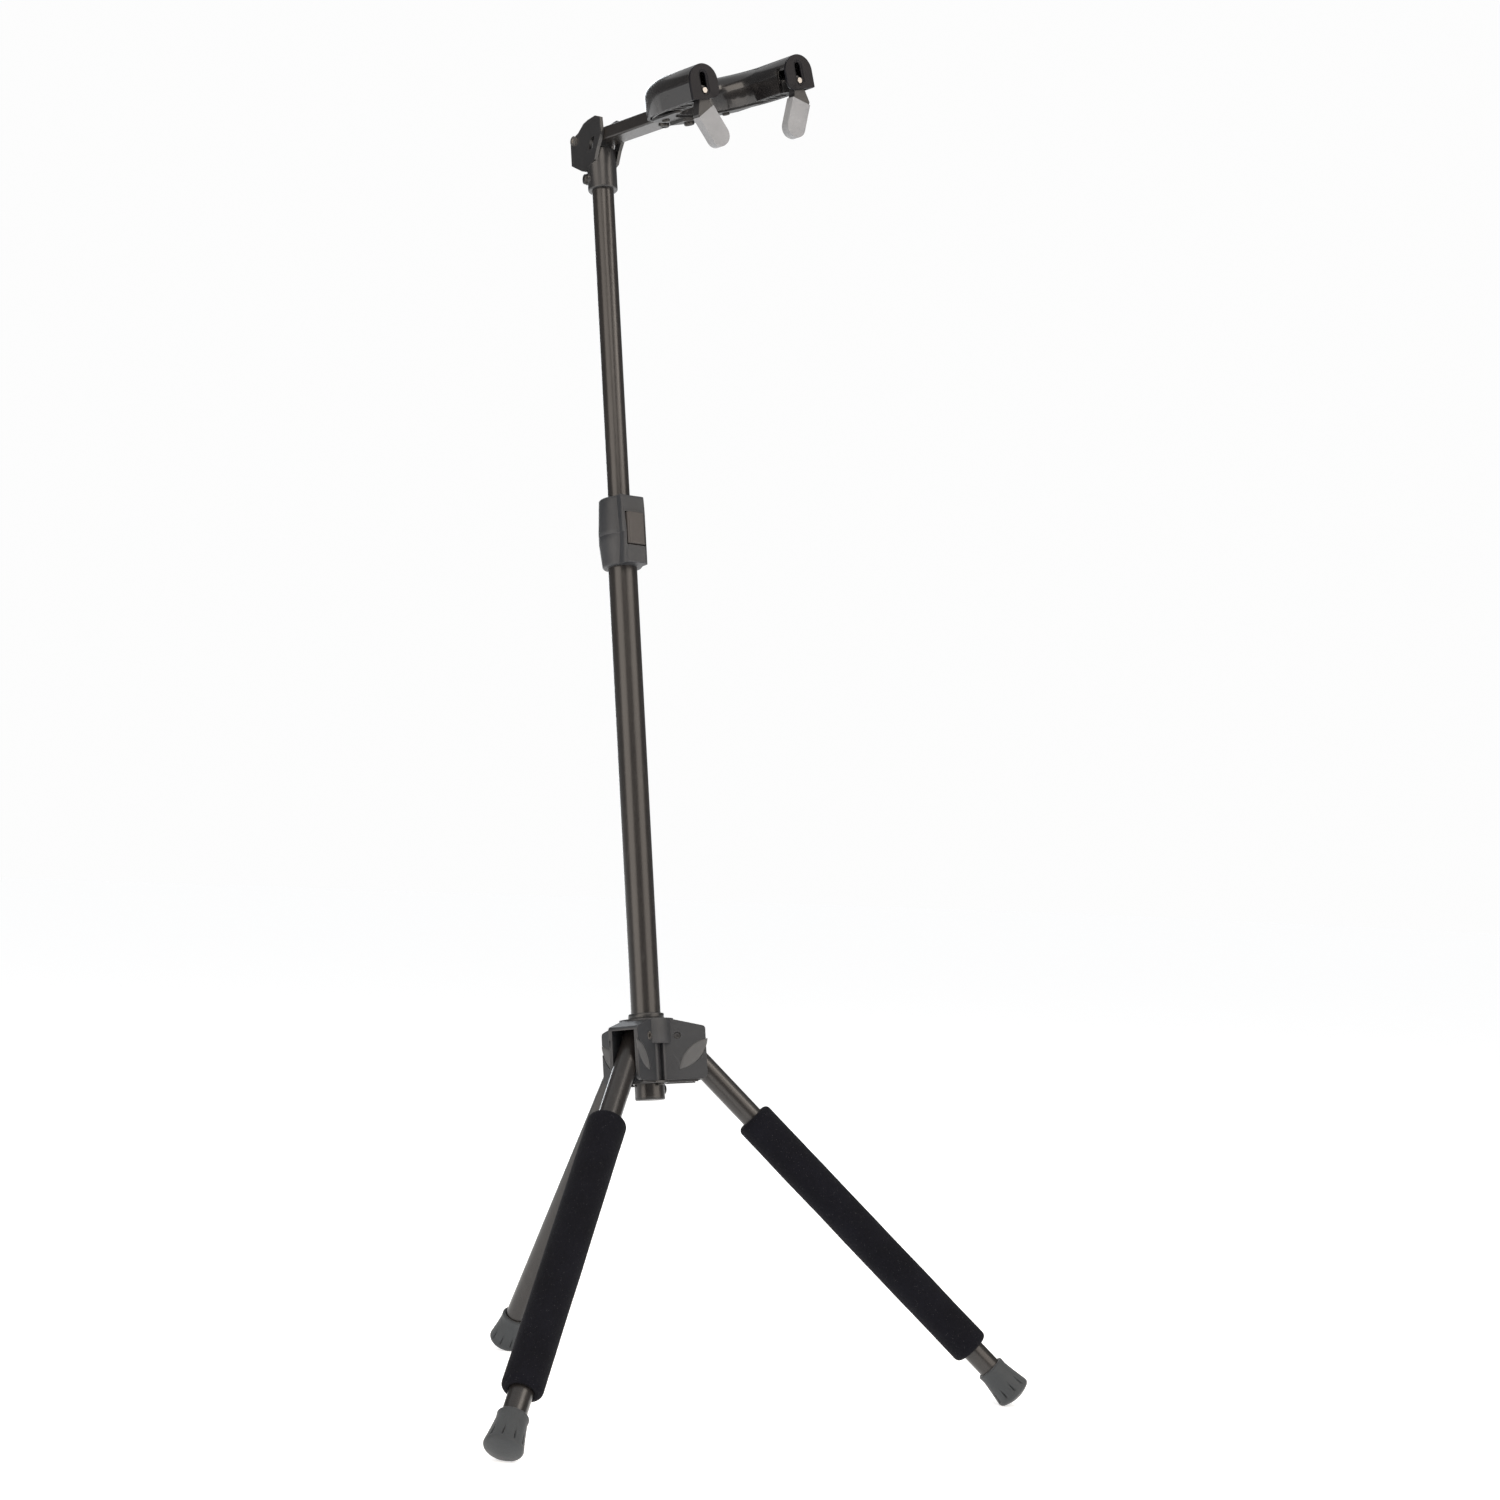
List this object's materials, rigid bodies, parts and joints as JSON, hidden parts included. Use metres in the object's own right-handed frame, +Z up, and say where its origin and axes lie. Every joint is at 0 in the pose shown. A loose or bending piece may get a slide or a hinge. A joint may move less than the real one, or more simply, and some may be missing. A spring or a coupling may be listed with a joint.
{
  "type": "guitar rack",
  "caption": "Folding tripod guitar stand with a telescopic mast, a swing arm and a self-closing neck yoke with rubber fingers.",
  "frame": {"origin": "on the floor, below the middle of the whole open stand", "axes": "+Z up, the arm and yoke point to -Y, the rear leg to +Y"},
  "size_m": [0.5308, 0.418, 1.1098],
  "materials": {
    "tube_paint": "satin",
    "casting": "satin",
    "hub_plastic": "matte",
    "button_plastic": "satin",
    "cradle_plastic": "gloss",
    "lever_plastic": "matte",
    "finger_rubber": "matte",
    "foot_rubber": "matte",
    "foam": "matte",
    "black_screw": "satin",
    "bright_steel": "brushed",
    "spring_steel": "satin"
  },
  "bodies": {
    "mast_base": {"lower_tube": "tube_paint", "hub_housing": "hub_plastic", "hub_ring": "casting", "hub_plate": "casting", "hub_plate_screws": "black_screw", "leg_pivot_pins": "bright_steel", "stub_plug": "lever_plastic", "snap_spring": "spring_steel", "tube_rivet": "bright_steel", "clutch_lower": "hub_plastic", "clutch_upper": "hub_plastic", "clutch_bush": "lever_plastic", "button_spring": "spring_steel"},
    "snap_button": {"snap_button": "bright_steel"},
    "clutch_button": {"clutch_button": "button_plastic"},
    "upper_mast": {"upper_tube": "tube_paint", "guide_bush": "lever_plastic", "upper_tube_cap": "lever_plastic", "head_bracket": "casting", "clamp_screw": "black_screw", "arm_pivot_bolt": "bright_steel", "arm_pivot_nut": "black_screw"},
    "arm": {"arm_tube": "tube_paint", "arm_tail_cap": "lever_plastic", "arm_plug": "lever_plastic", "arm_screw": "black_screw", "yoke_shaft": "casting", "shaft_clip": "bright_steel"},
    "yoke": {"yoke_frame": "casting", "yoke_plate": "casting", "yoke_plate_screws": "black_screw", "finger_pins": "bright_steel", "cradle_springs": "spring_steel"},
    "cradle": {"cradle_cover": "cradle_plastic", "tip_cap_left": "cradle_plastic", "tip_cap_right": "cradle_plastic"},
    "finger_left": {"finger_lever_left": "lever_plastic", "finger_pad_left": "finger_rubber"},
    "finger_right": {"finger_lever_right": "lever_plastic", "finger_pad_right": "finger_rubber"},
    "leg_left": {"leg_tube_left": "tube_paint", "leg_plug_left": "lever_plastic", "foam_sleeve_left": "foam", "foot_left": "foot_rubber"},
    "leg_right": {"leg_tube_right": "tube_paint", "leg_plug_right": "lever_plastic", "foam_sleeve_right": "foam", "foot_right": "foot_rubber"},
    "leg_rear": {"leg_tube_rear": "tube_paint", "leg_plug_rear": "lever_plastic", "foot_rear": "foot_rubber"}
  },
  "joints": [
    {"name": "leg_left_fold", "type": "hinge", "parent": "mast_base", "child": "leg_left", "pos_m": [-0.02079, -0.0145, 0.29621], "axis": [0.5, -0.8554, 0.1355], "range_deg": [0, 40]},
    {"name": "leg_right_fold", "type": "hinge", "parent": "mast_base", "child": "leg_right", "pos_m": [0.02079, -0.0145, 0.29621], "axis": [0.5, 0.8554, -0.1355], "range_deg": [0, 40]},
    {"name": "leg_rear_fold", "type": "hinge", "parent": "mast_base", "child": "leg_rear", "pos_m": [0, 0.02106, 0.29058], "axis": [-1, 0, 0], "range_deg": [0, 40]},
    {"name": "height_slide", "type": "slide", "parent": "mast_base", "child": "upper_mast", "axis": [0, 0.1564, 0.9877], "range_m": [-0.26, 0]},
    {"name": "clutch_button_press", "type": "slide", "parent": "mast_base", "child": "clutch_button", "axis": [0, 0.9877, -0.1564], "range_m": [0, 0.003], "stiffness_N_per_m": 800, "deforming": ["button_spring"]},
    {"name": "snap_button_press", "type": "slide", "parent": "mast_base", "child": "snap_button", "axis": [-1, 0, 0], "range_m": [0, 0.0018], "stiffness_N_per_m": 800},
    {"name": "arm_fold", "type": "hinge", "parent": "upper_mast", "child": "arm", "pos_m": [0, 0.14231, 1.07527], "axis": [-1, 0, 0], "range_deg": [0, 200]},
    {"name": "yoke_tilt", "type": "hinge", "parent": "arm", "child": "yoke", "pos_m": [0, -0.05569, 1.07527], "axis": [0, -1, 0], "range_deg": [-36, 4]},
    {"name": "cradle_press", "type": "slide", "parent": "yoke", "child": "cradle", "axis": [0.2756, 0, -0.9613], "range_m": [0, 0.01], "stiffness_N_per_m": 1500, "deforming": ["cradle_springs"]},
    {"name": "finger_left_close", "type": "hinge", "parent": "yoke", "child": "finger_left", "pos_m": [-0.04806, -0.09869, 1.06149], "axis": [0, -1, 0], "range_deg": [0, 38.5]},
    {"name": "finger_right_close", "type": "hinge", "parent": "yoke", "child": "finger_right", "pos_m": [0.04806, -0.09869, 1.08905], "axis": [0, 1, 0], "range_deg": [0, 38.5]}
  ],
  "couplings": [
    {"joint": "finger_left_close", "follows": "cradle_press", "rad_per_m": 66.323},
    {"joint": "finger_right_close", "follows": "cradle_press", "rad_per_m": 66.323}
  ]
}
